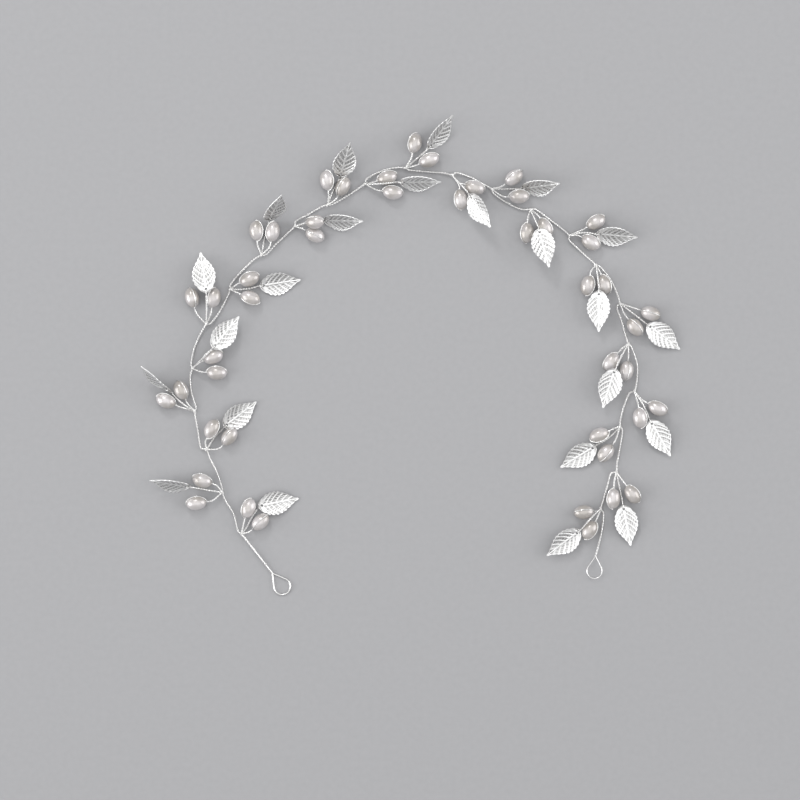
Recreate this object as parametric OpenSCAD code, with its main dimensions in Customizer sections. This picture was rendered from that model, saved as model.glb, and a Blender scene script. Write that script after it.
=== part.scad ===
// Bridal hair vine: a twisted wire backbone lying in an open curve, with a
// sprig of two rice pearls and a stamped leaf every 20 mm and a loop at each end.
// Millimetres, +Z up, the vine lying on Z = 0 and the origin under the middle of its box.

/* [Pearls] */
// Length of a rice pearl
pearl_len = 9; // [8.6:0.1:9.2]
// Diameter of a rice pearl
pearl_dia = 6.4; // [6:0.1:6.5]
// Diameter of the hole drilled through a pearl
bore_dia = 1; // [0.9:0.1:1.2]

/* [Leaves] */
// Length of a leaf from base to tip
leaf_len = 18.5; // [17:0.5:19]
// Width of a leaf at its widest
leaf_w = 10.4; // [9:0.2:10.8]
// Thickness of the stamped sheet
leaf_t = 0.3; // [0.25:0.05:0.35]
// Radius that a leaf is cupped to across its width, its edges upwards
cup_r = 12; // [11:1:30]
// Teeth along each side of a leaf
leaf_teeth = 7; // [5:1:9]
// Side veins on each side of the midrib
leaf_veins = 7; // [4:1:8]
// Height of the midrib and veins above the sheet
vein_h = 0.16; // [0.1:0.02:0.24]
// Diameter of the wire hole in a leaf
hole_dia = 1.1; // [1:0.1:1.2]
// Distance from the base of a leaf to the middle of its hole
hole_in = 1.6; // [1.4:0.1:1.8]

/* [Wire] */
// Diameter of a single strand
strand_dia = 0.4; // [0.3:0.05:0.4]
// Diameter of two strands twisted together, as in the backbone and the stems
twist_dia = 0.8; // [0.6:0.05:0.8]
// Diameter of the wrapped tail at the left end
tail_dia = 1.1; // [0.9:0.05:1.2]
// Height of the backbone's middle where a sprig leaves it
root_z = 1.6; // [1:0.1:2]

/* [End loops] */
// Wire diameter of the left loop
left_loop_wire = 0.8; // [0.6:0.05:0.9]
// Wire diameter of the right loop
right_loop_wire = 0.5; // [0.4:0.05:0.6]
// Radius of the left loop's round end, to the middle of the wire
left_loop_r = 3.7; // [3.4:0.1:4]
// Radius of the right loop's round end, to the middle of the wire
right_loop_r = 3.4; // [3.2:0.1:3.8]

/* [Hidden] */
// The vine, a row for each sprig from the left end.
// Columns: x and y of the root, then how far the backbone's next stretch
// bows to its left near its start, at its middle and near its end.
vine = [
    [-76.7, -80.2,  0.8, -0.5,  0.3],
    [-85.2, -61.7, -0.5, -0.8, -0.1],
    [-92.4, -42.5,  2.1,  1.3,  0.6],
    [-97.7, -25.2, -0.7,  1.0,  1.2],
    [-98.8,  -5.9,  1.1,  1.9,  1.1],
    [-92.5,  13.7, -1.4, -1.6, -0.8],
    [-81.7,  29.8,  1.3,  1.7,  1.3],
    [-67.7,  44.9, -1.0, -0.4, -0.1],
    [-52.6,  58.0,  1.7,  1.2,  0.9],
    [-37.8,  67.7, -0.8, -0.8, -0.4],
    [-21.2,  77.1,  1.8,  2.6,  1.8],
    [ -3.0,  84.1, -0.6, -0.2,  0.3],
    [ 18.0,  81.1,  1.6,  1.8,  0.8],
    [ 35.6,  74.8, -1.4, -2.2, -1.9],
    [ 53.3,  65.6,  1.2,  1.0,  0.7],
    [ 70.6,  53.9, -1.4, -1.0, -0.4],
    [ 82.8,  40.6,  1.1,  2.0,  1.2],
    [ 93.3,  23.5, -1.6, -0.8, -0.4],
    [ 97.3,   5.3,  1.2,  2.7,  1.7],
    [ 99.9, -16.1, -1.7, -1.8, -1.0],
    [ 93.6, -31.9,  1.1,  0.7,  0.1],
    [ 91.8, -52.3, -1.9, -1.1, -0.4],
    [ 84.9, -69.1,  1.4,  1.5,  0.7]
];
// Where the stretches' three bows lie, as shares of the straight way
bow_at = [0.1, 0.45, 0.8];
// Height of the backbone's middle at the three bows
bow_z = [1.4, 0.9, 1.1];

// The pearls of each sprig, first and second.
// Columns: bearing and reach of the pearl's middle from the root, heading of
// its length, and where the outer strand runs round it, 0 being on top and
// 90 on its left side.
pearls_a = [
    [  74, 12.0,   72,   60],
    [ 149, 10.5,  163,  -60],
    [  75,  9.8,   62,  -60],
    [ 122, 11.2,  115,  -40],
    [  28, 10.9,   22,   60],
    [ 117, 13.7,  104,  -25],
    [  26,  9.8,   22,   70],
    [ 101, 11.2,   94,  -60],
    [  10,  9.3,    5,   40],
    [  92, 10.8,   97,  -60],
    [  14, 10.4,   18,   60],
    [  69, 11.9,   77,   60],
    [ -30, 11.8,  -17,   60],
    [  26, 11.3,   37,   35],
    [ -99, 10.8,  -93,  -60],
    [  26, 13.3,   30,   60],
    [-113, 10.1, -102,   60],
    [ -19, 14.6,  -18,    5],
    [-134, 11.4, -128,  -60],
    [ -37, 13.0,  -27,   60],
    [-158, 10.4, -157,   60],
    [ -55, 12.4,  -55,   60],
    [-170,  7.9, -176,  -20]
];
pearls_b = [
    [  32, 10.2,   43,   10],
    [-158, 12.5, -173,  -60],
    [  30, 12.0,   52,   30],
    [ 160, 13.6,  157,  -65],
    [ -10, 11.4,   -2,   60],
    [  74, 12.6,   80,   45],
    [ -24, 10.1,  -22,  -50],
    [  64, 11.8,   80,   60],
    [ -24,  9.9,  -27,    0],
    [  50, 10.5,   62,   30],
    [ -18, 13.2,   -8,   60],
    [  18, 11.3,   22,   60],
    [ -71, 11.9,  -84,  -60],
    [ -16, 13.0,    2,   60],
    [ -53, 10.5,  -62,   60],
    [ -19, 10.2,  -30,   60],
    [ -69,  9.5,  -72,   60],
    [ -58, 12.9,  -50,   25],
    [ -95, 12.4,  -98,   20],
    [ -79, 12.3,  -83,   60],
    [-119, 13.7, -128,   20],
    [ -97, 12.2,  -93,  -60],
    [-119, 10.7, -122,   60]
];
// The ninth sprig's first pearl rides up on its second one
riding_sprig = 8;
ride_lift = 4;
ride_tilt = 30;

// The leaf of each sprig.
// Columns: bearing and reach of the leaf's hole from the root, heading,
// roll of its left edge upwards, pitch of its tip upwards, how far it is held
// above lying on Z = 0, and how far its stem's middle arches up and
// sways to the left.
leaves = [
    [  54, 15.6,   11,    5,   -2, 0.3,  0.0, -0.9],
    [ 170, 16.5,  170,  -58,   18, 0.2,  1.0,  0.0],
    [  51, 14.5,   38,   14,    2, 0.2,  0.0,  0.3],
    [ 140, 15.7,  138,  -70,   27, 0.2,  2.6,  0.6],
    [  44, 14.7,   51,   15,   -6, 4.0,  1.0,  0.0],
    [  89, 15.8,   99,    0,   -8, 4.0,  0.5,  0.0],
    [   6, 15.0,    9,   20,    0, 0.5,  0.0, -0.7],
    [  77, 17.2,   58,   50,   49, 0.5,  0.0,  0.0],
    [  10, 14.7,   -2,   51,   15, 0.2,  0.0,  0.0],
    [  67, 15.0,   72,   20,   35, 0.5,  0.0,  0.3],
    [   2, 17.4,    0,   54,    4, 0.4,  3.6, -0.7],
    [  42, 15.2,   53,   50,   14, 0.2,  0.0,  0.0],
    [ -51, 13.6,  -58,   42,   18, 4.7,  0.8,  0.0],
    [   1, 15.3,    6,   50,   26, 0.5,  0.0,  0.0],
    [ -70, 11.2,  -76,    0,   12, 5.8,  0.0,  0.0],
    [   2, 13.7,   -5,   40,    0, 1.3,  0.8,  0.6],
    [ -86, 13.3,  -90,   15,   -4, 4.5,  0.5,  0.0],
    [ -38, 17.3,  -37,    0,   -4, 1.0,  0.0,  0.0],
    [-118, 14.6, -107,    0,   -8, 4.0,  0.0,  0.0],
    [ -62, 16.5,  -60,    5,   -4, 1.5,  1.0,  0.5],
    [-142, 15.8, -149,  -12,    0, 1.0,  0.0,  0.6],
    [ -79, 17.0,  -79,    0,   -4, 1.0,  0.0,  0.0],
    [-136, 15.2, -143,  -15,    0, 3.2,  3.9, -0.7]
];

// Left tail and loop: the tail's far end, and the loop's round middle
left_apex = [-62.8, -98.0];
left_round = [-58.4, -103.9];
// Right loop: where it opens, and its round middle
right_apex = [82.5, -90.3];
right_round = [82.0, -96.9];
// The backbone is parted into its left and right lengths in the stretch that
// follows this sprig, the first being 0
part_after = 11;
// Gap between the parted ends, and between other pieces that meet
gap = 0.1;
// Sides of the twisted wires, of the strands and of the loops
twist_sides = 5;
wrap_sides = 6;
strand_sides = 4;
// Turn of a strand's section, which lays its flats towards the pearl or leaf
strand_spin = 45;
// How far a tube's blunt point stands out, and how far its sections are wrung
tube_tip = 0.08;
wring = 5;
loop_sides = 6;
// Steps round a loop's far end, and turns of the wrapping on the left tail
loop_steps = 16;
tail_turns = 9;
// Bands along a pearl
pearl_bands = 18;
// How far a stem ends short of its pearl or its leaf
stem_stop = 1.1;
// How far a leaf's stem keeps to its bearing where it reaches the leaf
stem_lead = 0.6;
// How far a strand's ends run into their stem
strand_in = 0.3;
// Room between a pearl and the middle of the strand that runs over it
strand_off = 0.45;
// Half the length and the radius of the wrapping at a root
wrap_half = 0.7;
wrap_r = 0.65;
// Where a leaf is widest, and how its outline swells and narrows
wide_at = 0.42;
swell = 0.5;
narrow = 1.25;
// The teeth's first and last place along the leaf, and their depth
teeth_from = 0.17;
teeth_to = 0.9;
tooth = 0.22;
// Half the width of a leaf's blunt tip
tip_half = 0.4;
// Half the width of the midrib at the hole and at its far end, and how far
// short of the tip it stops, as a share of the leaf's length
rib_half = 0.35;
rib_tip = 0.15;
rib_stop = 0.05;
// The first and last side vein's place, how far a vein runs forward, its share
// of the leaf's half width, and half its own width at the root
veins_from = 0.17;
veins_to = 0.83;
vein_run = 0.15;
vein_reach = 0.82;
vein_half = 0.2;

sprigs = len(vine);

// Vector helpers
function unit(v) = v / norm(v);
function flat(bearing, reach) = [reach * cos(bearing), reach * sin(bearing), 0];
function mix(a, b, t) = a * (1 - t) + b * t;

// A point turned by a roll about X, then a pitch that lifts +X, then a heading about Z
function rolled(p, a) = [p.x, p.y * cos(a) - p.z * sin(a), p.y * sin(a) + p.z * cos(a)];
function pitched(p, a) = [p.x * cos(a) - p.z * sin(a), p.y, p.x * sin(a) + p.z * cos(a)];
function headed(p, a) = [p.x * cos(a) - p.y * sin(a), p.x * sin(a) + p.y * cos(a), p.z];
function turned(p, roll, pitch, heading) = headed(pitched(rolled(p, roll), pitch), heading);

// A smooth way from one point to another that arrives along a direction, its
// middle arched up and swayed to the left
function way(from, to, arrive, steps, arch = 0, sway = 0) =
    let (
        d = norm(to - from),
        c = mix(from, to, 0.35),
        e = to - arrive * d * 0.35,
        bulge = arch * [0, 0, 1] + sway * unit(cross([0, 0, 1], to - from))
    )
    [for (k = [0 : steps])
        let (t = k / steps, s = 1 - t)
        from * s * s * s + c * 3 * t * s * s + e * 3 * t * t * s + to * t * t * t
        + 4 * t * s * bulge];

// A tube along a list of points, with one radius or one for each point; up is
// any direction square to the run, and spin turns its section. A closed tube
// joins its last point to its first, and an open one has blunt points. Every
// second section is wrung a little, so that no two of its triangles are level.
module tube(path, radius, sides, up = [0, 0, 1], spin = 0, closed = false) {
    count = len(path);
    last = (count - 1) * sides;
    points = [for (i = [0 : count - 1])
        let (
            before = closed ? path[(i + count - 1) % count] : path[max(i - 1, 0)],
            after = closed ? path[(i + 1) % count] : path[min(i + 1, count - 1)],
            run = unit(after - before),
            side = unit(cross(up, run)),
            over = cross(run, side)
        )
        for (k = [0 : sides - 1])
            let (a = spin + wring * (i % 2) + 360 * k / sides, r = is_list(radius) ? radius[i] : radius)
            path[i] + r * (cos(a) * side + sin(a) * over)];
    tips = [path[0] - unit(path[1] - path[0]) * tube_tip,
        path[count - 1] + unit(path[count - 1] - path[count - 2]) * tube_tip];
    walls = [for (i = [0 : count - (closed ? 1 : 2)], k = [0 : sides - 1])
        let (
            a = i * sides + k,
            b = i * sides + (k + 1) % sides,
            step = (i + 1) % count * sides - i * sides
        )
        [a, a + step, b + step, b]];
    ends = [for (k = [0 : sides - 1])
        let (next = (k + 1) % sides)
        each [[k, next, count * sides], [last + next, last + k, count * sides + 1]]];
    polyhedron(closed ? points : concat(points, tips), closed ? walls : concat(walls, ends),
        convexity = 6);
}

// The backbone
function root(i) = [vine[i][0], vine[i][1], root_z];
function right_end() =
    let (apex = [right_apex.x, right_apex.y, root_z])
    apex + unit(root(sprigs - 1) - apex) * (right_loop_wire / 2 + gap + tube_tip);
function next_root(i) = i < sprigs - 1 ? root(i + 1) : right_end();
function bow_point(i, j) =
    let (a = root(i), b = next_root(i), d = unit(b - a))
    mix([a.x, a.y, 0], [b.x, b.y, 0], bow_at[j])
    + [-d.y * vine[i][2 + j], d.x * vine[i][2 + j], bow_z[j]];
// A stretch's points, with one more between its bows
function stretch(i) =
    let (a = root(i), b = next_root(i), p = bow_point(i, 0), q = bow_point(i, 1), r = bow_point(i, 2))
    [a, p, curve_mid(a, p, q, r), q, curve_mid(p, q, r, b), r, b];
// The middle of the smooth curve between two points, given their neighbours
function curve_mid(before, a, b, after) = (a + b) * 9 / 16 - (before + after) / 16;

// The sprigs
function pearl_row(i, second) = second ? pearls_b[i] : pearls_a[i];
function rides(i, second) = i == riding_sprig && !second;
function pearl_tilt(i, second) = rides(i, second) ? ride_tilt : 0;
function pearl_mid(i, second) =
    let (row = pearl_row(i, second))
    [vine[i][0], vine[i][1], pearl_dia / 2 + (rides(i, second) ? ride_lift : 0)]
    + flat(row[0], row[1]);
function pearl_point(i, second, p) =
    let (row = pearl_row(i, second))
    pearl_mid(i, second) + turned(p, -row[3], pearl_tilt(i, second), row[2]);

module placed_pearl(i, second) {
    row = pearl_row(i, second);
    translate(pearl_mid(i, second))
        rotate([0, -pearl_tilt(i, second), row[2]])
            pearl();
}

// A pearl lies along X: half an ellipse turned about it, its bore left open
module pearl() {
    mouth = acos(bore_dia / pearl_dia);
    rotate([0, 90, 0]) rotate_extrude($fn = 64)
        polygon([for (k = [0 : pearl_bands])
            let (a = mouth * (2 * k / pearl_bands - 1))
            [pearl_dia / 2 * cos(a), pearl_len / 2 * sin(a)]]);
}

// The stem of a pearl, and its strand through the bore and back over the pearl
module pearl_wire(i, second) {
    row = pearl_row(i, second);
    half = pearl_len / 2;
    arrive = pearl_point(i, second, [1, 0, 0]) - pearl_point(i, second, [0, 0, 0]);
    stem_end = pearl_point(i, second, [-half - stem_stop, 0, 0]);
    tube(way(root(i), stem_end, arrive, 2), twist_dia / 2, twist_sides);
    over = [for (u = [10, 42, 78, 118, 158])
        [(half + strand_off) * cos(u), 0, (pearl_dia / 2 + strand_off) * sin(u)]];
    start = -half - stem_stop - strand_in;
    loop = concat([[start, 0, 0], [half + 0.2, 0, 0]], over, [[start, 0, strand_dia / 4]]);
    tube([for (p = loop) pearl_point(i, second, p)], strand_dia / 2, strand_sides,
        turned([0, 1, 0], -row[3], pearl_tilt(i, second), row[2]), strand_spin);
}

// A leaf lies along +X with its hole at the origin
function leaf_edge(t) = leaf_w / 2 * (t < wide_at
    ? pow(sin(90 * t / wide_at), swell)
    : pow(cos(90 * (t - wide_at) / (1 - wide_at)), narrow));
function leaf_side() =
    let (step = (teeth_to - teeth_from) / leaf_teeth)
    concat(
        [for (t = [0.004, 0.025, 0.06, 0.11]) [t, leaf_edge(t)]],
        [for (k = [0 : leaf_teeth - 1])
            let (valley = teeth_from + k * step, crest = valley + step * 0.8)
            each [[valley, leaf_edge(valley) - tooth], [crest, leaf_edge(crest) + tooth]]],
        [[teeth_to, leaf_edge(teeth_to) - tooth / 2], [1, tip_half]]
    );
function leaf_outline() =
    let (side = leaf_side(), n = len(side))
    concat(
        [for (p = side) [p.x * leaf_len - hole_in, p.y]],
        [for (k = [n - 1 : -1 : 0]) [side[k].x * leaf_len - hole_in, -side[k].y]]
    );

// The sheet between two heights above its middle, cupped over the leaf's length
module cupped(low, high) {
    span = 3 * leaf_len;
    translate([0, 0, cup_r]) rotate([0, 90, 0]) difference() {
        cylinder(r = cup_r - low, h = span, center = true, $fn = 96);
        cylinder(r = cup_r - high, h = span + 2, center = true, $fn = 96);
    }
}

module upright() {
    translate([0, 0, -leaf_w / 2]) linear_extrude(leaf_w) children();
}

// The midrib and side veins as one outline, half of it on each side
function rib_at(t) = mix(rib_half, rib_tip, t);
function vein_side() = [for (k = [0 : leaf_veins - 1])
    let (
        t = mix(veins_from, veins_to, k / leaf_veins),
        out = leaf_edge(t + vein_run) * vein_reach,
        run = vein_run * (0.35 + 0.65 * leaf_edge(t) / leaf_edge(wide_at)) * leaf_len,
        x = t * leaf_len - hole_in
    )
    each [
        [x - vein_half, rib_at(t)],
        [x + run * 0.4 - vein_half, out * 0.6],
        [x + run, out],
        [x + run * 0.4 + vein_half, out * 0.6],
        [x + vein_half * 1.6, rib_at(t)]
    ]];
module veins() {
    side = concat(
        [[hole_dia, rib_half]], vein_side(), [[(1 - rib_stop) * leaf_len - hole_in, rib_tip]]);
    last = len(side) - 1;
    polygon(concat(side, [for (k = [last : -1 : 0]) [side[k].x, -side[k].y]]));
}

module leaf() {
    difference() {
        intersection() {
            cupped(-leaf_t / 2, leaf_t / 2);
            upright() polygon(leaf_outline());
        }
        cylinder(d = hole_dia, h = 4, center = true, $fn = 32);
    }
    intersection() {
        cupped(leaf_t / 4, leaf_t / 2 + vein_h);
        upright() veins();
    }
}

// How low a leaf reaches under its hole, its stem's end included
function leaf_reach(i) =
    let (row = leaves[i], sheet = [for (p = leaf_outline())
        turned([p.x, p.y, cup_r - sqrt(cup_r * cup_r - p.y * p.y) - leaf_t / 2],
            row[3], row[4], row[2]).z])
    min(concat(sheet, [turned([-hole_in - stem_stop, 0, 0], row[3], row[4], row[2]).z
        - twist_dia / 2 - gap]));
function leaf_mid(i) =
    let (row = leaves[i])
    [vine[i][0], vine[i][1], leaves[i][5] - leaf_reach(i)] + flat(row[0], row[1]);
function leaf_point(i, p) =
    let (row = leaves[i])
    leaf_mid(i) + turned(p, row[3], row[4], row[2]);

module placed_leaf(i) {
    row = leaves[i];
    translate(leaf_mid(i)) rotate([row[3], -row[4], row[2]]) leaf();
}

// The stem of a leaf comes in between its bearing and the leaf's heading, and
// its strand passes through the hole and back
module leaf_wire(i) {
    row = leaves[i];
    aside = (row[0] - row[2]) * stem_lead;
    back = hole_in + 0.3;
    start = -hole_in - stem_stop;
    lift = leaf_t / 2 + strand_dia / 2 + 2 * gap;
    stem_end = leaf_point(i, headed([start, 0, 0], aside));
    tube(way(root(i), stem_end, flat(row[2] + aside, 1), 4, row[6], row[7]),
        twist_dia / 2, twist_sides);
    loop = [[start - strand_in, 0, 0], [-back, 0, -lift * 0.9], [-0.25, 0, -lift], [0, 0, 0],
        [-0.25, 0, lift], [-back, 0, lift * 0.9], [start - strand_in, 0, strand_dia / 4]];
    tube([for (p = loop) leaf_point(i, headed(p, aside))], strand_dia / 2, strand_sides,
        turned(headed([0, 1, 0], aside), row[3], row[4], row[2]), strand_spin);
}

// The wrapping that binds a sprig to the backbone
module wrapping(i) {
    before = i > 0 ? bow_point(i - 1, 2) : [left_apex.x, left_apex.y, root_z];
    run = bow_point(i, 1) - before;
    translate(root(i)) rotate([0, 0, atan2(run.y, run.x)]) hull()
        tube([for (x = [-1, -0.5, 0.5, 1]) [x * wrap_half, 0, 0]],
            [wrap_r, wrap_r * 1.1, wrap_r * 1.1, wrap_r], wrap_sides);
}

module vine_wire(first, last, run) {
    color("silver") union() {
        tube(run, twist_dia / 2, twist_sides);
        for (i = [first : last]) {
            wrapping(i);
            pearl_wire(i, false);
            pearl_wire(i, true);
            leaf_wire(i);
        }
    }
}

// The parting lies at the fourth point of the stretch after the left length
function run_left() = concat(
    [for (i = [0 : part_after - 1], k = [0 : 5]) stretch(i)[k]],
    [for (k = [0 : 2]) stretch(part_after)[k]],
    [parted(-1)]
);
function run_right() = concat(
    [parted(1)],
    [for (k = [4 : 5]) stretch(part_after)[k]],
    [for (i = [part_after + 1 : sprigs - 1], k = [0 : 5]) stretch(i)[k]],
    [next_root(sprigs - 1)]
);
function parted(side) =
    let (s = stretch(part_after))
    s[3] + unit(s[4] - s[2]) * side * (gap / 2 + tube_tip);

module vine_wire_left() { vine_wire(0, part_after, run_left()); }
module vine_wire_right() { vine_wire(part_after + 1, sprigs - 1, run_right()); }

// A teardrop's points: from its apex down one straight side, round its far
// end and back
function teardrop(apex, middle, r, z) =
    let (
        to = [middle.x - apex.x, middle.y - apex.y],
        lean = acos(r / norm(to)),
        back = atan2(-to.y, -to.x),
        arc = [for (k = [0 : loop_steps])
            let (a = back + lean + (360 - 2 * lean) * k / loop_steps)
            [middle.x + r * cos(a), middle.y + r * sin(a), z]],
        tip = [apex.x, apex.y, z]
    )
    concat([tip, mix(tip, arc[0], 0.1)], arc, [mix(tip, arc[loop_steps], 0.1)]);

// The left end: the backbone's end, wrapped turn by turn down to the loop
module end_loop_left() {
    start = root(0);
    apex = [left_apex.x, left_apex.y, tail_dia / 2 + gap];
    from = start + unit(apex - start) * (wrap_half + tube_tip + 3 * gap);
    to = apex + unit(apex - start) * tail_dia / 3;
    turn = norm(to - from) / tail_turns;
    color("silver") union() {
        for (k = [0 : tail_turns - 1])
            translate(mix(from, to, (k + 0.5) / tail_turns))
                rotate([0, 90, atan2(to.y - from.y, to.x - from.x)])
                    hull() {
                        cylinder(d = tail_dia, h = turn * 0.5, center = true, $fn = 6);
                        cylinder(d = tail_dia * 0.8, h = turn * 1.1, center = true, $fn = 6);
                    }
        tube(teardrop(left_apex, left_round, left_loop_r, apex.z),
            left_loop_wire / 2, loop_sides, closed = true);
    }
}

module end_loop_right() {
    color("silver")
        tube(teardrop(right_apex, right_round, right_loop_r, root_z),
            right_loop_wire / 2, loop_sides, closed = true);
}

module pearl_pair(i) {
    color("ivory") {
        placed_pearl(i, false);
        placed_pearl(i, true);
    }
}

module leaf_piece(i) {
    color("gainsboro") placed_leaf(i);
}

vine_wire_left();
vine_wire_right();
end_loop_left();
end_loop_right();
for (i = [0 : sprigs - 1]) {
    pearl_pair(i);
    leaf_piece(i);
}
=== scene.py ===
import math

import bmesh
import bpy
from mathutils import Matrix, Vector


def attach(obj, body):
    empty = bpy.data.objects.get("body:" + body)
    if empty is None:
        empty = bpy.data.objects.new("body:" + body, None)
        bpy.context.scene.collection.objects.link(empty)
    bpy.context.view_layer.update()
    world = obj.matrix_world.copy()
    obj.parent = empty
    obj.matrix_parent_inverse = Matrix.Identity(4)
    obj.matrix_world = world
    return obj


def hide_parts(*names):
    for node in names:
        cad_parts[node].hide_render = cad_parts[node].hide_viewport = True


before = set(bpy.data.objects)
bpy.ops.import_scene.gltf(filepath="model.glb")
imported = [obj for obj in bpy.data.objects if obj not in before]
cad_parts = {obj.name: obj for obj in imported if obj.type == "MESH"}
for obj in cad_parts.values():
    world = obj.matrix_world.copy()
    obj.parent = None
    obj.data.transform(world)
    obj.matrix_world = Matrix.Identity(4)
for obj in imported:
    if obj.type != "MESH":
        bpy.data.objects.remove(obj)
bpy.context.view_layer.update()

# a bridal hair vine: sprigs of two rice pearls and a stamped leaf on a twisted wire
# the vine's sizes and places are in mm, and become metres where a mesh is made
mm = 0.001
up = Vector((0, 0, 1))


def sind(angle):
    return math.sin(math.radians(angle))


def cosd(angle):
    return math.cos(math.radians(angle))


def flat(bearing, reach):
    return Vector((reach * cosd(bearing), reach * sind(bearing), 0))


def turnOf(roll, pitch, heading):  # roll about X, then tip up, then heading about Z
    return (Matrix.Rotation(math.radians(heading), 4, "Z")
            @ Matrix.Rotation(math.radians(-pitch), 4, "Y")
            @ Matrix.Rotation(math.radians(roll), 4, "X"))


def deselectAll():
    if bpy.context.mode != "OBJECT":
        bpy.ops.object.mode_set(mode="OBJECT")
    bpy.ops.object.select_all(action="DESELECT")


def pick(piece):
    deselectAll()
    piece.select_set(True)
    bpy.context.view_layer.objects.active = piece


def applyModifiers(piece):
    pick(piece)
    for modifier in list(piece.modifiers):
        bpy.ops.object.modifier_apply(modifier=modifier.name)


def placeCopy(master, place):  # a copy with its own mesh, moved to its place in mm
    copied = master.copy()
    copied.data = master.data.copy()
    bpy.context.scene.collection.objects.link(copied)
    matrix = place.copy()
    matrix.translation = place.translation * mm
    copied.data.transform(matrix)
    return copied


def finishPiece(piece, name, node, material):
    piece.name = name
    piece.data.name = name
    piece.data.materials.clear()
    piece.data.materials.append(material)
    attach(piece, "root")
    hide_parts(node)


# what the materials share
def newMaterial(name):
    material = bpy.data.materials.new(name)
    material.use_nodes = True
    nodes, links = material.node_tree.nodes, material.node_tree.links
    return material, nodes, links, nodes["Principled BSDF"]


def addNoise(nodes, links, vector, scale, detail=2):
    noise = nodes.new("ShaderNodeTexNoise")
    noise.inputs["Scale"].default_value = scale
    noise.inputs["Detail"].default_value = detail
    links.new(vector, noise.inputs["Vector"])
    return noise.outputs["Fac"]


def addRamp(nodes, links, value, stops):  # stops are two pairs of place and colour
    ramp = nodes.new("ShaderNodeValToRGB")
    for element, (place, colour) in zip(ramp.color_ramp.elements, stops):
        element.position = place
        element.color = (*colour, 1)
    links.new(value, ramp.inputs["Fac"])
    return ramp.outputs["Color"]


def addBump(nodes, links, shader, height, strength, distance):
    bump = nodes.new("ShaderNodeBump")
    bump.inputs["Strength"].default_value = strength
    bump.inputs["Distance"].default_value = distance
    links.new(height, bump.inputs["Height"])
    links.new(bump.outputs["Normal"], shader.inputs["Normal"])


def mapRange(nodes, links, value, low, high, toLow, toHigh):
    node = nodes.new("ShaderNodeMapRange")
    node.inputs["From Min"].default_value = low
    node.inputs["From Max"].default_value = high
    node.inputs["To Min"].default_value = toLow
    node.inputs["To Max"].default_value = toHigh
    links.new(value, node.inputs["Value"])
    return node.outputs["Result"]


# the vine's line
# x, y of each sprig's root, then three bows of the backbone's next stretch
vineRows = [
    (-76.7, -80.2, 0.8, -0.5, 0.3), (-85.2, -61.7, -0.5, -0.8, -0.1), (-92.4, -42.5, 2.1, 1.3, 0.6),
    (-97.7, -25.2, -0.7, 1.0, 1.2), (-98.8, -5.9, 1.1, 1.9, 1.1), (-92.5, 13.7, -1.4, -1.6, -0.8),
    (-81.7, 29.8, 1.3, 1.7, 1.3), (-67.7, 44.9, -1.0, -0.4, -0.1), (-52.6, 58.0, 1.7, 1.2, 0.9),
    (-37.8, 67.7, -0.8, -0.8, -0.4), (-21.2, 77.1, 1.8, 2.6, 1.8), (-3.0, 84.1, -0.6, -0.2, 0.3),
    (18.0, 81.1, 1.6, 1.8, 0.8), (35.6, 74.8, -1.4, -2.2, -1.9), (53.3, 65.6, 1.2, 1.0, 0.7),
    (70.6, 53.9, -1.4, -1.0, -0.4), (82.8, 40.6, 1.1, 2.0, 1.2), (93.3, 23.5, -1.6, -0.8, -0.4),
    (97.3, 5.3, 1.2, 2.7, 1.7), (99.9, -16.1, -1.7, -1.8, -1.0), (93.6, -31.9, 1.1, 0.7, 0.1),
    (91.8, -52.3, -1.9, -1.1, -0.4), (84.9, -69.1, 1.4, 1.5, 0.7),
]
sprigCount = len(vineRows)
wire = {
    "strand": 0.45,  # diameter of one strand
    "twist": 0.8,  # diameter of the twisted pair, as in the CAD
    "gap": 0.005,  # from the twist's middle to each strand's skin
    "pitch": 2.5,  # length of one full turn of the twist
    "stepsPerTurn": 10,
    "rootHeight": 1.6,
    "bowAt": (0.1, 0.45, 0.8),
    "bowHeight": (1.4, 0.9, 1.1),
    "lineParts": 16,  # parts of the backbone's curve from one point to the next
    "partAfter": 11,  # its two lengths meet after this sprig, counted from 0
    "coilTurns": 2.6,
    "coilRadius": 0.5,
    "coilHalf": 0.6,
    "coilSteps": 30,
    "stemPull": 0.35,  # share of a stem over which it bends at each end
    "stemStop": 1.1,  # from a stem's end to the pearl or the leaf
    "closedIn": 0.35,  # share of the twist's radius that is left at a stem's end
    "underStem": 0.1,  # clearance below a leaf's stem, as in the CAD
    "bevelSteps": 2,
    "dull": (0.78, 0.77, 0.76),
    "bright": (0.95, 0.95, 0.94),
    "wearScale": 900,
}
endLoops = {
    "leftApex": (-62.8, -98.0),
    "leftRound": (-58.4, -103.9),
    "leftRadius": 3.7,
    "leftWire": 0.74,
    "rightApex": (82.5, -90.3),
    "rightRound": (82.0, -96.9),
    "rightRadius": 3.4,
    "rightWire": 0.5,
    "steps": 40,
    "tail": 1.1,  # diameter of the wrapped tail
    "tailLift": 0.1,
    "tailFrom": 0.3,  # starts past the first root
    "tailPast": 0.25,  # ends past the loop's point
    "tailStrand": 0.5,
    "tailStrands": 3,
    "tailPitch": 3.4,
    "tailStep": 0.28,
}


def rootAt(i):
    return Vector((vineRows[i][0], vineRows[i][1], wire["rootHeight"]))


def nextRoot(i):
    if i < sprigCount - 1:
        return rootAt(i + 1)
    return Vector((*endLoops["rightApex"], wire["rootHeight"]))


def bowPoint(i, j):
    a, b = rootAt(i), nextRoot(i)
    d = (b - a).normalized()
    share, bow = wire["bowAt"][j], vineRows[i][2 + j]
    return Vector((a.x + (b.x - a.x) * share - d.y * bow, a.y + (b.y - a.y) * share + d.x * bow,
                   wire["bowHeight"][j]))


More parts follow.
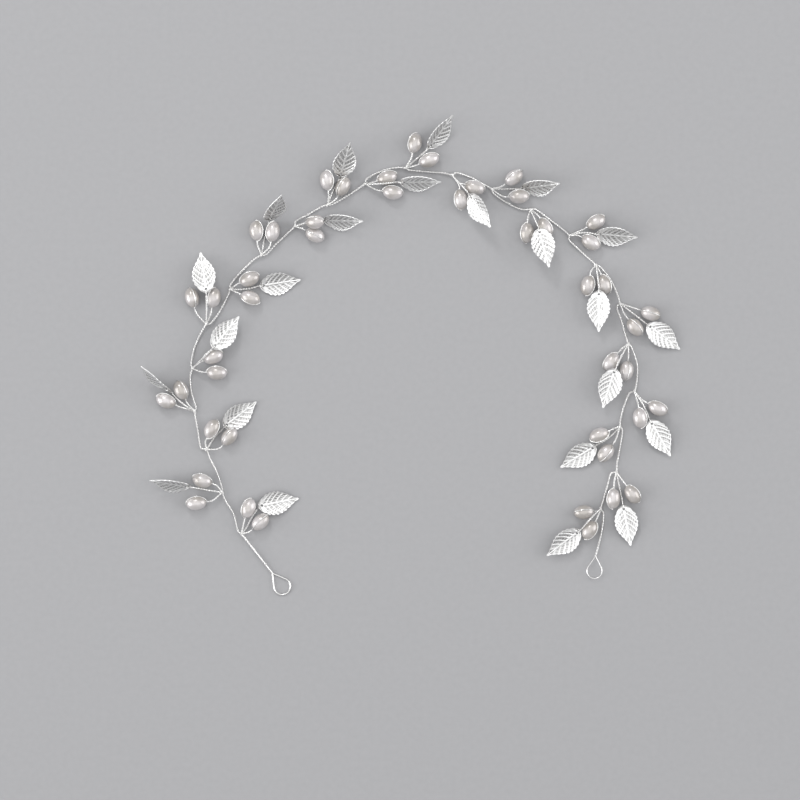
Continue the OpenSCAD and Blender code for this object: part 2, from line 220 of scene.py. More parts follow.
def smoothLine(points, parts):  # a Catmull-Rom curve through the points
    line = []
    for k in range(len(points) - 1):
        p0, p1, p2, p3 = (points[max(k - 1, 0)], points[k], points[k + 1],
                          points[min(k + 2, len(points) - 1)])
        for m in range(parts):
            t = m / parts
            line.append(0.5 * (2 * p1 + (p2 - p0) * t + (2 * p0 - 5 * p1 + 4 * p2 - p3) * t * t
                               + (3 * p1 - p0 - 3 * p2 + p3) * t ** 3))
    line.append(points[-1].copy())
    return line


def evenLine(points, step):  # the same line with points a step apart
    lengths = [0.0]
    for a, b in zip(points, points[1:]):
        lengths.append(lengths[-1] + (b - a).length)
    count = max(2, round(lengths[-1] / step))
    line, k = [], 0
    for n in range(count + 1):
        s = lengths[-1] * n / count
        while k < len(points) - 2 and lengths[k + 1] < s:
            k += 1
        span = lengths[k + 1] - lengths[k]
        line.append(points[k].lerp(points[k + 1], (s - lengths[k]) / span if span else 0))
    return line


def twistStep():
    return wire["pitch"] / wire["stepsPerTurn"]


def stemLine(start, end, arrive, parts, arch=0.0, sway=0.0):  # as in the CAD
    reach = (end - start).length
    leave, meet = start.lerp(end, wire["stemPull"]), end - arrive * reach * wire["stemPull"]
    bulge = up * arch + up.cross(end - start).normalized() * sway
    line = []
    for k in range(parts + 1):
        t = k / parts
        s = 1 - t
        line.append(start * s ** 3 + leave * 3 * t * s * s + meet * 3 * t * t * s + end * t ** 3
                    + bulge * 4 * t * s)
    return line


def strandRound(line, radius, pitch, phase, closeOver=0.0):  # one strand of a twisted wire
    points, over = [], up
    travelled = 0.0
    total = sum((b - a).length for a, b in zip(line, line[1:]))
    for k, p in enumerate(line):
        run = (line[min(k + 1, len(line) - 1)] - line[max(k - 1, 0)]).normalized()
        over = (over - run * over.dot(run)).normalized()
        side = over.cross(run)
        if k:
            travelled += (p - line[k - 1]).length
        angle = 2 * math.pi * travelled / pitch + phase
        r = radius
        if closeOver and total - travelled < closeOver:
            r = radius * (wire["closedIn"] + (1 - wire["closedIn"]) * (total - travelled) / closeOver)
        points.append(p + (side * math.cos(angle) + over * math.sin(angle)) * r)
    return points


def twistedPair(line, phase, closeOver=0.0):
    radius = wire["strand"] / 2 + wire["gap"]
    return [strandRound(line, radius, wire["pitch"], phase + half, closeOver) for half in (0, math.pi)]


# pearls
# bearing, reach, heading and strand turn of each sprig's two pearls
pearlRows = [
    [(74, 12.0, 72, 60), (32, 10.2, 43, 10)], [(149, 10.5, 163, -60), (-158, 12.5, -173, -60)],
    [(75, 9.8, 62, -60), (30, 12.0, 52, 30)], [(122, 11.2, 115, -40), (160, 13.6, 157, -65)],
    [(28, 10.9, 22, 60), (-10, 11.4, -2, 60)], [(117, 13.7, 104, -25), (74, 12.6, 80, 45)],
    [(26, 9.8, 22, 70), (-24, 10.1, -22, -50)], [(101, 11.2, 94, -60), (64, 11.8, 80, 60)],
    [(10, 9.3, 5, 40), (-24, 9.9, -27, 0)], [(92, 10.8, 97, -60), (50, 10.5, 62, 30)],
    [(14, 10.4, 18, 60), (-18, 13.2, -8, 60)], [(69, 11.9, 77, 60), (18, 11.3, 22, 60)],
    [(-30, 11.8, -17, 60), (-71, 11.9, -84, -60)], [(26, 11.3, 37, 35), (-16, 13.0, 2, 60)],
    [(-99, 10.8, -93, -60), (-53, 10.5, -62, 60)], [(26, 13.3, 30, 60), (-19, 10.2, -30, 60)],
    [(-113, 10.1, -102, 60), (-69, 9.5, -72, 60)], [(-19, 14.6, -18, 5), (-58, 12.9, -50, 25)],
    [(-134, 11.4, -128, -60), (-95, 12.4, -98, 20)], [(-37, 13.0, -27, 60), (-79, 12.3, -83, 60)],
    [(-158, 10.4, -157, 60), (-119, 13.7, -128, 20)], [(-55, 12.4, -55, 60), (-97, 12.2, -93, -60)],
    [(-170, 7.9, -176, -20), (-119, 10.7, -122, 60)],
]
pearl = {
    "length": 9.0,
    "width": 6.4,
    "bore": 0.5,  # radius of the drilled mouth
    "boreDepth": 1.4,
    "boreRim": 0.06,
    "segments": 40,
    "rings": 26,
    "ridingSprig": 8,  # counted from 0, its first pearl rides up on its second one
    "rideLift": 4.0,
    "rideTilt": 30,
    "stemParts": 24,
    "stemClose": 1.0,  # the stem's twist closes over this length
    "strandOff": 0.24,  # from the pearl's skin to the middle of the strand that runs over it
    "strandFrom": 8,  # angles along the pearl between which the strand follows it
    "strandTo": 172,
    "strandStep": 9,
    "shade": (0.47, 0.44, 0.412),
    "glow": (0.66, 0.63, 0.63),
    "cloudScale": 140,
    "skinScale": 1800,
}
# x and z of the strand where it leaves the far mouth, enters the near one, and comes back to its stem
strandTip = [(-1, 0), (-0.1, 0), (0.12, 0.05), (0.23, 0.22)]
strandMouth = [(-0.3, -0.06), (1, 0)]
strandClosing = (-0.5, 0.26)


def rides(i, second):
    return i == pearl["ridingSprig"] and not second


def pearlPlace(i, second):  # the pearl's own frame, X along its length
    bearing, reach, heading, strandTurn = pearlRows[i][second]
    lift = pearl["rideLift"] if rides(i, second) else 0
    middle = Vector((vineRows[i][0], vineRows[i][1], pearl["width"] / 2 + lift)) + flat(bearing, reach)
    tilt = pearl["rideTilt"] if rides(i, second) else 0
    return Matrix.Translation(middle) @ turnOf(-strandTurn, tilt, heading)


def pearlStrand(i, second):  # out along the stem, through the bore, back over the pearl and down again
    place = pearlPlace(i, second)
    half, radius = pearl["length"] / 2, pearl["width"] / 2
    off = pearl["strandOff"]
    stemEnd = place @ Vector((-half - wire["stemStop"], 0, 0))
    arrive = (place.to_3x3() @ Vector((1, 0, 0))).normalized()
    stem = evenLine(stemLine(rootAt(i), stemEnd, arrive, pearl["stemParts"]), twistStep())
    out, back = twistedPair(stem, 0, pearl["stemClose"])
    mouth = smoothLine([out[-1]] + [place @ Vector((-half + x, 0, z)) for x, z in strandMouth], 3)
    tip = [place @ Vector((half + x, 0, z)) for x, z in strandTip]
    over = [place @ Vector(((half + off) * cosd(u), 0, (radius + off) * sind(u)))
            for u in range(pearl["strandFrom"], pearl["strandTo"], pearl["strandStep"])]
    x, z = strandClosing
    closing = smoothLine([over[-1], place @ Vector((-half + x, 0, z)), back[-1]], 3)
    return out[:-1] + mouth + tip + over[:-1] + closing[:-1] + list(reversed(back))


def makeNacre():
    material, nodes, links, shader = newMaterial("nacre")
    shader.inputs["Metallic"].default_value = 0.35
    shader.inputs["Roughness"].default_value = 0.32
    shader.inputs["Coat Weight"].default_value = 0.9
    shader.inputs["Coat Roughness"].default_value = 0.12
    coordinates = nodes.new("ShaderNodeTexCoord").outputs["Object"]
    cloud = addNoise(nodes, links, coordinates, pearl["cloudScale"])
    colour = addRamp(nodes, links, cloud, [(0.38, pearl["shade"]), (0.62, pearl["glow"])])
    links.new(colour, shader.inputs["Base Color"])
    skin = addNoise(nodes, links, coordinates, pearl["skinScale"])
    addBump(nodes, links, shader, skin, 0.05, 0.00003)
    return material


def modelPearl():
    deselectAll()
    bpy.ops.mesh.primitive_uv_sphere_add(segments=pearl["segments"], ring_count=pearl["rings"],
                                         radius=pearl["width"] / 2 * mm, rotation=(0, math.pi / 2, 0),
                                         scale=(1, 1, pearl["length"] / pearl["width"]))
    master = bpy.context.active_object
    bpy.ops.object.transform_apply(location=True, rotation=True, scale=True)
    bpy.ops.object.mode_set(mode="EDIT")
    for end in (1, -1):  # a drilled mouth at each end
        bpy.ops.mesh.select_all(action="DESELECT")
        shape = bmesh.from_edit_mesh(master.data)
        pole = max(shape.verts, key=lambda v: v.co.x * end)
        for face in pole.link_faces:
            face.select = True
        bmesh.update_edit_mesh(master.data)
        ring = pole.link_edges[0].other_vert(pole).co.yz.length
        size = pearl["bore"] * mm / ring
        bpy.ops.transform.resize(value=(1, size, size), center_override=(0, 0, 0))
        bpy.ops.mesh.inset(thickness=pearl["boreRim"] * mm)
        inward = (-end * pearl["boreDepth"] * mm, 0, 0)
        bpy.ops.mesh.extrude_region_move(TRANSFORM_OT_translate={"value": inward})
    bpy.ops.mesh.select_all(action="SELECT")
    bpy.ops.mesh.normals_make_consistent(inside=False)
    bpy.ops.object.mode_set(mode="OBJECT")
    bpy.ops.object.shade_smooth_by_angle(angle=math.radians(40))
    return master


def buildPearls(nacre):
    master = modelPearl()
    for i in range(sprigCount):
        pair = [placeCopy(master, pearlPlace(i, second)) for second in (0, 1)]
        deselectAll()
        for one in pair:
            one.select_set(True)
        bpy.context.view_layer.objects.active = pair[0]
        bpy.ops.object.join()
        finishPiece(pair[0], f"ricePearls{i + 1:02d}", f"pearl_pair_{i + 1:02d}", nacre)
    bpy.data.objects.remove(master)


# leaves
# bearing and reach of each leaf's hole, heading, roll, pitch, lift, and its stem's arch and sway
leafRows = [
    (54, 15.6, 11, 5, -2, 0.3, 0, -0.9), (170, 16.5, 170, -58, 18, 0.2, 1.0, 0),
    (51, 14.5, 38, 14, 2, 0.2, 0, 0.3), (140, 15.7, 138, -70, 27, 0.2, 2.6, 0.6),
    (44, 14.7, 51, 15, -6, 4.0, 1.0, 0), (89, 15.8, 99, 0, -8, 4.0, 0.5, 0),
    (6, 15.0, 9, 20, 0, 0.5, 0, -0.7), (77, 17.2, 58, 50, 49, 0.5, 0, 0),
    (10, 14.7, -2, 51, 15, 0.2, 0, 0), (67, 15.0, 72, 20, 35, 0.5, 0, 0.3),
    (2, 17.4, 0, 54, 4, 0.4, 3.6, -0.7), (42, 15.2, 53, 50, 14, 0.2, 0, 0),
    (-51, 13.6, -58, 42, 18, 4.7, 0.8, 0), (1, 15.3, 6, 50, 26, 0.5, 0, 0),
    (-70, 11.2, -76, 0, 12, 5.8, 0, 0), (2, 13.7, -5, 40, 0, 1.3, 0.8, 0.6),
    (-86, 13.3, -90, 15, -4, 4.5, 0.5, 0), (-38, 17.3, -37, 0, -4, 1.0, 0, 0),
    (-118, 14.6, -107, 0, -8, 4.0, 0, 0), (-62, 16.5, -60, 5, -4, 1.5, 1.0, 0.5),
    (-142, 15.8, -149, -12, 0, 1.0, 0, 0.6), (-79, 17.0, -79, 0, -4, 1.0, 0, 0),
    (-136, 15.2, -143, -15, 0, 3.2, 3.9, -0.7),
]
leaf = {
    "length": 18.5,
    "width": 10.4,
    "sheet": 0.3,
    "cup": 12.0,  # radius across the leaf
    "hole": 1.1,
    "holeIn": 1.6,
    "teeth": 7,
    "teethFrom": 0.17,
    "teethTo": 0.9,
    "tooth": 0.5,  # a scallop's depth at the base, fading to the tip
    "toothBase": 1.15,  # the depth's share at the hole
    "toothFade": 0.6,  # how much of that is lost over the leaf's length
    "toothLean": 1.3,  # a scallop leans to the tip
    "toothFull": 0.8,  # and is fuller than a plain wave
    "toothSink": 0.6,  # share of the depth that lies inside the plain edge
    "cadTooth": 0.22,  # half a tooth's depth in the CAD, whose outline seats the leaf
    "cadCrest": 0.8,  # share of a tooth where it is highest in the CAD
    "tipHalf": 0.4,
    "widest": 0.42,
    "swell": 0.5,
    "narrow": 1.25,
    "rowsPerTooth": 10,
    "columns": 52,
    "veinRun": 0.25,  # how far forward a vein sweeps, as a share of the length
    "veinShort": 0.4,  # share of that run which a vein keeps where the leaf is narrow
    "veinReach": 0.97,
    "veinCurl": 0.45,  # how much of its run a vein makes late, in a curve
    "veinEnd": 0.62,  # share of a tooth where its vein ends
    "veinSteps": 12,
    "relief": 0.24,  # height of the midrib over the hollows
    "ribTip": 0.2,  # half width of the midrib at the tip
    "ribSpread": 0.42,  # and how much wider it gets towards the hole
    "veinHalf": 0.36,
    "veinHeight": 0.85,  # heights are shares of the relief
    "barHalf": 0.26,
    "barHeight": 0.4,
    "rimHalf": 0.4,
    "rimHeight": 0.75,
    "stemLead": 0.6,  # share of the turn from stem to leaf that the stem's end takes
    "stemParts": 32,
    "stemClose": 0.8,
    "stemPhase": 0.6,
    "strandOff": 0.12,  # from the sheet to the strand's skin
    "strandBack": 0.3,  # the strand meets its stem this far behind the leaf's end
    # the hollows' colour holds painted shade and a painted dark reflection, with a little tarnish
    "hollowTarnishAndShade": (0.51, 0.505, 0.5),
    "ridgeTone": (0.91, 0.91, 0.905),
    "grainScale": 60,
    "mapScale": 0.05,  # of the leaf's own map, to each mm
}
baseShares = (0.004, 0.014, 0.028, 0.045, 0.065, 0.09, 0.115)  # rows before the first tooth
neckShare = 0.142  # the last of them, drawn in a little
tipShares = (0.92, 0.94, 0.96, 0.975)
tipRound = ((0.988, 0.95), (0.996, 0.75), (1.0, 0.4))  # the last rows, and their share of the tip
barPlaces = ((4, 7, 9, 11), (3, 6, 8, 10))  # steps along a vein where a bar starts, in turn


def toothStep():
    return (leaf["teethTo"] - leaf["teethFrom"]) / leaf["teeth"]


def leafEdge(t):  # half width at a share of the length, without teeth
    if t < leaf["widest"]:
        return leaf["width"] / 2 * sind(90 * t / leaf["widest"]) ** leaf["swell"]
    along = (t - leaf["widest"]) / (1 - leaf["widest"])
    return leaf["width"] / 2 * max(0.0, cosd(90 * along)) ** leaf["narrow"]


def leafCorners():  # place along the leaf and half width, as the CAD's outline has them
    tooth = leaf["cadTooth"]
    corners = [(t, leafEdge(t)) for t in (0.004, 0.025, 0.06, 0.11)]
    for k in range(leaf["teeth"]):
        valley = leaf["teethFrom"] + k * toothStep()
        crest = valley + toothStep() * leaf["cadCrest"]
        corners += [(valley, leafEdge(valley) - tooth), (crest, leafEdge(crest) + tooth)]
    return corners + [(leaf["teethTo"], leafEdge(leaf["teethTo"]) - tooth / 2), (1, leaf["tipHalf"])]


def cupHeight(y):
    return leaf["cup"] - math.sqrt(leaf["cup"] ** 2 - y * y)


def leafPlace(i):  # the leaf's own frame, X along it and the hole at its origin
    bearing, reach, heading, roll, pitch, lift = leafRows[i][:6]
    turn = turnOf(roll, pitch, heading)
    stem = turn @ Vector((-leaf["holeIn"] - wire["stemStop"], 0, 0))
    low = stem.z - wire["twist"] / 2 - wire["underStem"]
    for t, half in leafCorners():
        for y in (half, -half):
            p = Vector((t * leaf["length"] - leaf["holeIn"], y, cupHeight(y) - leaf["sheet"] / 2))
            low = min(low, (turn @ p).z)
    middle = Vector((vineRows[i][0], vineRows[i][1], lift - low)) + flat(bearing, reach)
    return Matrix.Translation(middle) @ turn


def leafStrand(i):  # out along the stem, round through the hole and down again
    bearing, reach, heading, roll, pitch, lift, arch, sway = leafRows[i]
    place = leafPlace(i)
    aside = (bearing - heading) * leaf["stemLead"]
    lead = Matrix.Rotation(math.radians(aside), 4, "Z")
    stemEnd = place @ (lead @ Vector((-leaf["holeIn"] - wire["stemStop"], 0, 0)))
    arrive = flat(heading + aside, 1)
    stem = evenLine(stemLine(rootAt(i), stemEnd, arrive, leaf["stemParts"], arch, sway), twistStep())
    out, back = twistedPair(stem, leaf["stemPhase"], leaf["stemClose"])
    off = leaf["sheet"] / 2 + wire["strand"] / 2 + leaf["strandOff"]
    behind = -leaf["holeIn"] - leaf["strandBack"]
    ring = [(behind, -0.9), (-0.38, -1), (-0.3, 0), (-0.38, 1), (behind, 0.9)]  # x, share of off
    ring = [place @ (lead @ Vector((x, 0, share * off))) for x, share in ring]
    points = [out[-1]] + ring + [back[-1]]
    return out[:-1] + smoothLine(points, 4)[:-1] + list(reversed(back))


def makeLeafSilver():
    material, nodes, links, shader = newMaterial("stampedSilverSheet")
    shader.inputs["Metallic"].default_value = 1.0
    onLeaf = nodes.new("ShaderNodeUVMap")
    onLeaf.uv_map = "leafFlat"
    pressed = nodes.new("ShaderNodeAttribute")
    pressed.attribute_name = "pressed"
    relief = pressed.outputs["Fac"]
    # the pressed hollows are painted darker, as painted shade and a painted dark reflection along with
    # a little tarnish; the raised net keeps the bright silver
    tone = addRamp(nodes, links, relief, [(0.05, leaf["hollowTarnishAndShade"]), (0.5, leaf["ridgeTone"])])
    links.new(tone, shader.inputs["Base Color"])
    links.new(mapRange(nodes, links, relief, 0.0, 0.8, 0.2, 0.48), shader.inputs["Roughness"])
    grain = addNoise(nodes, links, onLeaf.outputs["UV"], leaf["grainScale"], 6)
    addBump(nodes, links, shader, grain, 0.15, 0.00004)
    return material


def toothedRows():  # place along the leaf and half width of each row of vertices
    tooth, count = leaf["tooth"], leaf["rowsPerTooth"]
    rows = [(t, leafEdge(t)) for t in baseShares]
    rows.append((neckShare, leafEdge(neckShare) - 0.1 * tooth))
    for k in range(leaf["teeth"]):
        for m in range(count):
            share = m / count
            t = leaf["teethFrom"] + (k + share) * toothStep()
            wave = math.sin(math.pi * share ** leaf["toothLean"])
            bulge = wave ** leaf["toothFull"] if m else 0
            depth = tooth * (leaf["toothBase"] - leaf["toothFade"] * t)
            rows.append((t, leafEdge(t) + depth * (bulge - leaf["toothSink"])))
    last = leafEdge(leaf["teethTo"]) - tooth * 0.15
    rows.append((leaf["teethTo"], last))
    for t in tipShares:
        along = (t - leaf["teethTo"]) / (1 - leaf["teethTo"])
        rows.append((t, last + (leaf["tipHalf"] - last) * along))
    return rows + [(t, leaf["tipHalf"] * share) for t, share in tipRound]


def veinLines():  # from the midrib forward to each scallop
    lines = []
    widest = leafEdge(leaf["widest"])
    for k in range(-1, leaf["teeth"]):
        end = leaf["teethFrom"] + (k + leaf["veinEnd"]) * toothStep()
        out = leafEdge(end) * leaf["veinReach"]
        full = leaf["veinShort"] + (1 - leaf["veinShort"]) * leafEdge(end) / widest
        run = leaf["veinRun"] * full * leaf["length"]
        run = min(run, end * leaf["length"] - leaf["hole"])
        x = end * leaf["length"] - leaf["holeIn"] - run
        shares = [n / leaf["veinSteps"] for n in range(leaf["veinSteps"] + 1)]
        curl = leaf["veinCurl"]
        lines.append([(x + run * (s * (1 - curl) + s * s * curl), out * s) for s in shares])
    return lines


def crossBars(veins):  # short bars from one vein to the next
    bars = []
    for k in range(len(veins) - 1):
        for place in barPlaces[k % 2]:
            bars.append([veins[k][place], veins[k + 1][place - 1]])
    return bars


def distanceToLine(x, y, line):
    best = math.inf
    for (ax, ay), (bx, by) in zip(line, line[1:]):
        dx, dy = bx - ax, by - ay
        s = max(0.0, min(1.0, ((x - ax) * dx + (y - ay) * dy) / (dx * dx + dy * dy)))
        best = min(best, math.hypot(x - ax - s * dx, y - ay - s * dy))
    return best


def ridge(distance, half):  # a rounded ridge's height at a distance from its middle
    return max(0.0, 1 - (distance / half) ** 2) if distance < half else 0.0


def reliefAt(x, y, half, veins, bars):  # 0 in the hollows, 1 on the midrib
    along = (x + leaf["holeIn"]) / leaf["length"]
    ribHalf = leaf["ribSpread"] * (1 - along) + leaf["ribTip"]
    heights = [ridge(abs(y), ribHalf) if x > leaf["hole"] * 0.9 else 0.0]
    heights += [leaf["veinHeight"] * ridge(distanceToLine(x, abs(y), vein), leaf["veinHalf"])
                for vein in veins]
    heights += [leaf["barHeight"] * ridge(distanceToLine(x, abs(y), bar), leaf["barHalf"])
                for bar in bars]
    heights.append(leaf["rimHeight"] * ridge(half - abs(y), leaf["rimHalf"]))
    return max(heights)


def shapeOutline(master, rows):  # each row of the grid takes its place and its width
    bpy.ops.object.mode_set(mode="EDIT")
    shape = bmesh.from_edit_mesh(master.data)
    places = sorted({round(v.co.x, 8) for v in shape.verts})
    byRow = {x: [v for v in shape.verts if abs(v.co.x - x) < 1e-7] for x in places}
    for x, (t, half) in zip(places, rows):
        bpy.ops.mesh.select_all(action="DESELECT")
        for v in byRow[x]:
            v.select = True
        arc = leaf["cup"] * math.asin(half / leaf["cup"])
        bpy.ops.transform.resize(value=(1, arc, 1), center_override=(x, 0, 0))
        shift = (t * leaf["length"] - leaf["holeIn"]) * mm - x
        bpy.ops.transform.translate(value=(shift, 0, 0))
    bpy.ops.object.mode_set(mode="OBJECT")


def pressNet(master):  # the veins, bars and rim, as a height and as a tone that paints shade and a dark reflection into the hollows
    mesh = master.data
    flatMap = mesh.uv_layers.new(name="leafFlat")
    for loop in mesh.loops:
        place = mesh.vertices[loop.vertex_index].co
        u, v = place.x / mm * leaf["mapScale"], place.y / mm * leaf["mapScale"]
        flatMap.data[loop.index].uv = (u + 0.1, v + 0.5)
    halfAt = {}
    for v in mesh.vertices:
        row = round(v.co.x, 7)
        halfAt[row] = max(halfAt.get(row, 0.0), abs(v.co.y))
    veins = veinLines()
    bars = crossBars(veins)
    heights = []
    for v in mesh.vertices:
        half = halfAt[round(v.co.x, 7)]
        heights.append(reliefAt(v.co.x / mm, v.co.y / mm, half / mm, veins, bars))
    group = master.vertex_groups.new(name="relief")
    for v, height in zip(mesh.vertices, heights):
        group.add([v.index], height, "REPLACE")
    shade = mesh.attributes.new("pressed", "FLOAT", "POINT")
    for place, height in zip(shade.data, heights):
        place.value = height
    press = master.modifiers.new("press", "DISPLACE")
    press.vertex_group = "relief"
    press.strength = leaf["relief"] * mm
    press.mid_level = 0
    applyModifiers(master)


def cupAndThicken(master):  # cupped across, edges up
    for v in master.data.vertices:
        bend = v.co.y / (leaf["cup"] * mm)
        inner = leaf["cup"] * mm - v.co.z
        v.co = (v.co.x, inner * math.sin(bend), leaf["cup"] * mm - inner * math.cos(bend))
    thicken = master.modifiers.new("thicken", "SOLIDIFY")
    thicken.thickness = leaf["sheet"] * mm
    thicken.offset = 0
    applyModifiers(master)


def punchHole(master):
    deselectAll()
    bpy.ops.mesh.primitive_cylinder_add(vertices=28, radius=leaf["hole"] / 2 * mm, depth=4 * mm)
    punch = bpy.context.active_object
    cut = master.modifiers.new("punch", "BOOLEAN")
    cut.object = punch
    cut.operation = "DIFFERENCE"
    cut.solver = "EXACT"
    applyModifiers(master)
    bpy.data.objects.remove(punch)


def modelLeaf():
    rows = toothedRows()
    deselectAll()
    bpy.ops.mesh.primitive_grid_add(x_subdivisions=len(rows) - 1, y_subdivisions=leaf["columns"],
                                    size=2 * mm)
    master = bpy.context.active_object
    shapeOutline(master, rows)
    pressNet(master)
    cupAndThicken(master)
    punchHole(master)
    pick(master)
    bpy.ops.object.shade_smooth_by_angle(angle=math.radians(55))
    return master


def buildLeaves(leafSilver):
    master = modelLeaf()
    print("one leaf has", len(master.data.polygons), "faces")
    for i in range(sprigCount):
        one = placeCopy(master, leafPlace(i))
        finishPiece(one, f"silverLeaf{i + 1:02d}", f"leaf_{i + 1:02d}", leafSilver)
    bpy.data.objects.remove(master)


# wires
def makeWireSilver():
    material, nodes, links, shader = newMaterial("brightSilverWire")
    shader.inputs["Metallic"].default_value = 1.0
    coordinates = nodes.new("ShaderNodeTexCoord").outputs["Object"]
    wear = addNoise(nodes, links, coordinates, wire["wearScale"], 4)
    colour = addRamp(nodes, links, wear, [(0.3, wire["dull"]), (0.6, wire["bright"])])
    links.new(colour, shader.inputs["Base Color"])
    links.new(mapRange(nodes, links, wear, 0.3, 0.7, 0.34, 0.2), shader.inputs["Roughness"])
    addBump(nodes, links, shader, wear, 0.12, 0.00003)
    return material


def newWire(name):
    curve = bpy.data.curves.new(name, "CURVE")
    curve.dimensions = "3D"
    curve.bevel_depth = wire["strand"] / 2 * mm
    curve.bevel_resolution = wire["bevelSteps"]
    curve.use_fill_caps = True
    piece = bpy.data.objects.new(name, curve)
    bpy.context.scene.collection.objects.link(piece)
    return piece


def addStrand(piece, points, diameter=wire["strand"]):
    spline = piece.data.splines.new("POLY")
    spline.points.add(len(points) - 1)
    for place, p in zip(spline.points, points):
        place.co = (*(p * mm), 1)
        place.radius = diameter / wire["strand"]
    spline.use_smooth = True


def wireToMesh(piece):
    pick(piece)
    bpy.ops.object.convert(target="MESH")
    piece = bpy.context.view_layer.objects.active
    bpy.ops.object.mode_set(mode="EDIT")
    bpy.ops.mesh.select_all(action="SELECT")
    bpy.ops.mesh.remove_doubles(threshold=1e-7)
    bpy.ops.mesh.normals_make_consistent(inside=False)
    bpy.ops.object.mode_set(mode="OBJECT")
    bpy.ops.object.shade_smooth_by_angle(angle=math.radians(50))
    return piece


def rootCoil(i, run):  # the few turns that bind a sprig to the backbone
    along = Vector((run.x, run.y, 0)).normalized()
    side = up.cross(along)
    points = []
    for k in range(wire["coilSteps"] + 1):
        t = k / wire["coilSteps"]
        angle = 2 * math.pi * wire["coilTurns"] * t + i
        points.append(rootAt(i) + along * wire["coilHalf"] * (2 * t - 1)
                      + (side * math.cos(angle) + up * math.sin(angle)) * wire["coilRadius"])
    return points


def backboneLine():  # the line, and the point where its two lengths meet
    points, partAt = [], 0
    for i in range(sprigCount):
        points += [rootAt(i), bowPoint(i, 0), bowPoint(i, 1), bowPoint(i, 2)]
        if i == wire["partAfter"]:
            partAt = len(points) - 2
    points.append(nextRoot(sprigCount - 1))
    line = smoothLine(points, wire["lineParts"])
    return evenLine(line, twistStep()), line[partAt * wire["lineParts"]]


def buildVine(wireSilver):
    line, partPoint = backboneLine()
    cut = min(range(len(line)), key=lambda k: (line[k] - partPoint).length)
    left, right = newWire("vineTwistLeft"), newWire("vineTwistRight")
    for strand in twistedPair(line, 0):
        addStrand(left, strand[:cut + 1])
        addStrand(right, strand[cut:])
    for i in range(sprigCount):
        piece = left if i <= wire["partAfter"] else right
        before = bowPoint(i - 1, 2) if i else Vector((*endLoops["leftApex"], wire["rootHeight"]))
        addStrand(piece, rootCoil(i, bowPoint(i, 1) - before))
        addStrand(piece, pearlStrand(i, 0))
        addStrand(piece, pearlStrand(i, 1))
        addStrand(piece, leafStrand(i))
    finishPiece(wireToMesh(left), "vineTwistLeft", "vine_wire_left", wireSilver)
    finishPiece(wireToMesh(right), "vineTwistRight", "vine_wire_right", wireSilver)


def teardrop(apex, middle, r, z):
    to = Vector(middle) - Vector(apex)
    lean = math.degrees(math.acos(r / to.length))
    backward = math.degrees(math.atan2(-to.y, -to.x))
    tip = Vector((*apex, z))
    points = [tip]
    for k in range(endLoops["steps"] + 1):
        a = backward + lean + (360 - 2 * lean) * k / endLoops["steps"]
        points.append(Vector((*middle, z)) + flat(a, r))
    return points + [tip]


def buildLeftTail(wireSilver):
    left = newWire("leftTailLoop")
    z = endLoops["tail"] / 2 + endLoops["tailLift"]
    loop = teardrop(endLoops["leftApex"], endLoops["leftRound"], endLoops["leftRadius"], z)
    addStrand(left, loop, endLoops["leftWire"])
    start, apex = rootAt(0), Vector((*endLoops["leftApex"], z))
    along = (apex - start).normalized()
    ends = [start + along * endLoops["tailFrom"], apex + along * endLoops["tailPast"]]
    tail = evenLine(ends, endLoops["tailStep"])
    radius = (endLoops["tail"] - endLoops["tailStrand"]) / 2
    for k in range(endLoops["tailStrands"]):
        phase = 2 * math.pi * k / endLoops["tailStrands"]
        addStrand(left, strandRound(tail, radius, endLoops["tailPitch"], phase), endLoops["tailStrand"])
    finishPiece(wireToMesh(left), "leftTailLoop", "end_loop_left", wireSilver)


def buildRightLoop(wireSilver):
    right = newWire("rightLoop")
    loop = teardrop(endLoops["rightApex"], endLoops["rightRound"], endLoops["rightRadius"],
                    wire["rootHeight"])
    addStrand(right, loop, endLoops["rightWire"])
    finishPiece(wireToMesh(right), "rightLoop", "end_loop_right", wireSilver)


wireSilver, leafSilver, nacre = makeWireSilver(), makeLeafSilver(), makeNacre()
print("wires")
buildVine(wireSilver)
buildLeftTail(wireSilver)
buildRightLoop(wireSilver)
print("pearls")
buildPearls(nacre)
print("leaves")
buildLeaves(leafSilver)

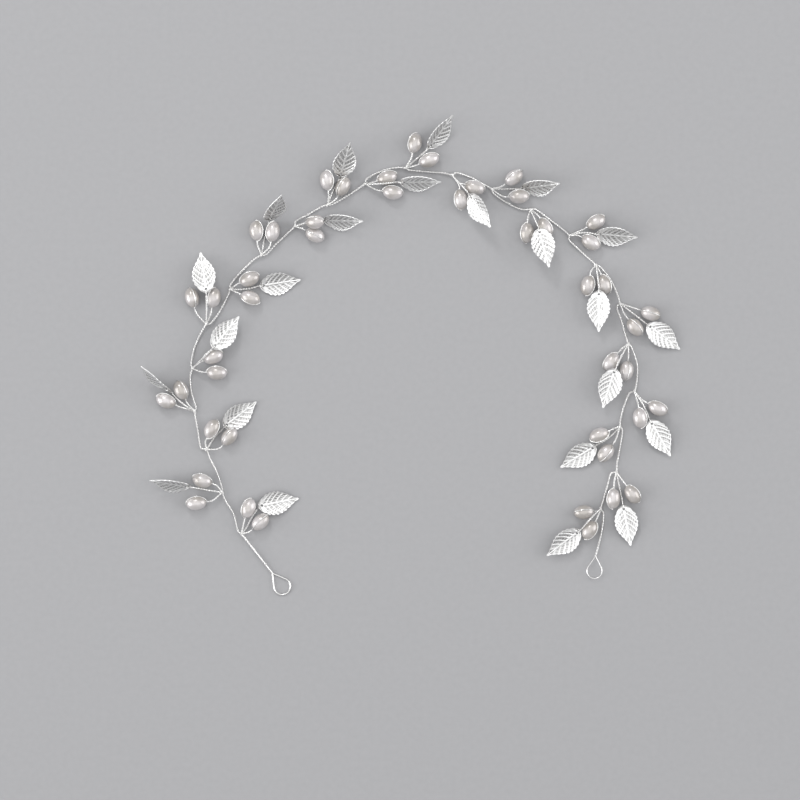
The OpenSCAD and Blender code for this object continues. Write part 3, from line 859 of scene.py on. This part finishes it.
# floor, light and camera, in metres
studio = {
    "floor": 3.0,
    "floorDrop": 0.00005,
    "floorDark": (0.35, 0.35, 0.36),
    "floorPale": (0.385, 0.385, 0.395),
    "fibreScale": 400,
    "cameraAt": (-0.0054, -0.0201, 1.2),
    "lens": 120,
    "aim": (0, -0.02, 0),
    "keyAt": (-0.35, 0.95, 0.95),
    "keySize": 0.3,
    "keyPower": 3.6,
    "topAt": (0.0, 0.1, 1.7),
    "topSize": 2.2,
    "topPower": 13.8,
    "leftAt": (-1.6, -0.3, 0.75),
    "leftPower": 17,
    "rightAt": (1.6, 0.2, 0.75),
    "rightPower": 14,
    "sideSize": 1.4,
    "air": (0.99, 0.99, 1),
    "airStrength": 0.44,
}


def makeFloor():
    deselectAll()
    bpy.ops.mesh.primitive_plane_add(size=studio["floor"], location=(0, 0, -studio["floorDrop"]))
    floor = bpy.context.active_object
    floor.name = "paleFloor"
    material, nodes, links, shader = newMaterial("palePaper")
    shader.inputs["Roughness"].default_value = 0.75
    coordinates = nodes.new("ShaderNodeTexCoord").outputs["Object"]
    fibre = addNoise(nodes, links, coordinates, studio["fibreScale"])
    colour = addRamp(nodes, links, fibre, [(0, studio["floorDark"]), (1, studio["floorPale"])])
    links.new(colour, shader.inputs["Base Color"])
    floor.data.materials.append(material)


def areaLight(name, place, size, power):
    light = bpy.data.lights.new(name, "AREA")
    light.size = size
    light.energy = power
    lamp = bpy.data.objects.new(name, light)
    bpy.context.scene.collection.objects.link(lamp)
    lamp.location = place
    away = Vector(place) - Vector(studio["aim"])
    lamp.rotation_euler = away.to_track_quat("Z", "Y").to_euler()


def makeAir():  # the room's even light
    world = bpy.data.worlds.new("studioAir")
    bpy.context.scene.world = world
    world.use_nodes = True
    background = world.node_tree.nodes["Background"]
    background.inputs["Color"].default_value = (*studio["air"], 1)
    background.inputs["Strength"].default_value = studio["airStrength"]


def makeCamera():  # straight above, looking down
    data = bpy.data.cameras.new("overheadCamera")
    data.lens = studio["lens"]
    data.sensor_width = 36
    camera = bpy.data.objects.new("overheadCamera", data)
    camera.location = studio["cameraAt"]
    bpy.context.scene.collection.objects.link(camera)
    bpy.context.scene.camera = camera


print("studio")
makeFloor()
areaLight("keyLight", studio["keyAt"], studio["keySize"], studio["keyPower"])
areaLight("topLight", studio["topAt"], studio["topSize"], studio["topPower"])
areaLight("leftLight", studio["leftAt"], studio["sideSize"], studio["leftPower"])
areaLight("rightLight", studio["rightAt"], studio["sideSize"], studio["rightPower"])
makeAir()
makeCamera()
bpy.context.scene.view_settings.view_transform = "Standard"
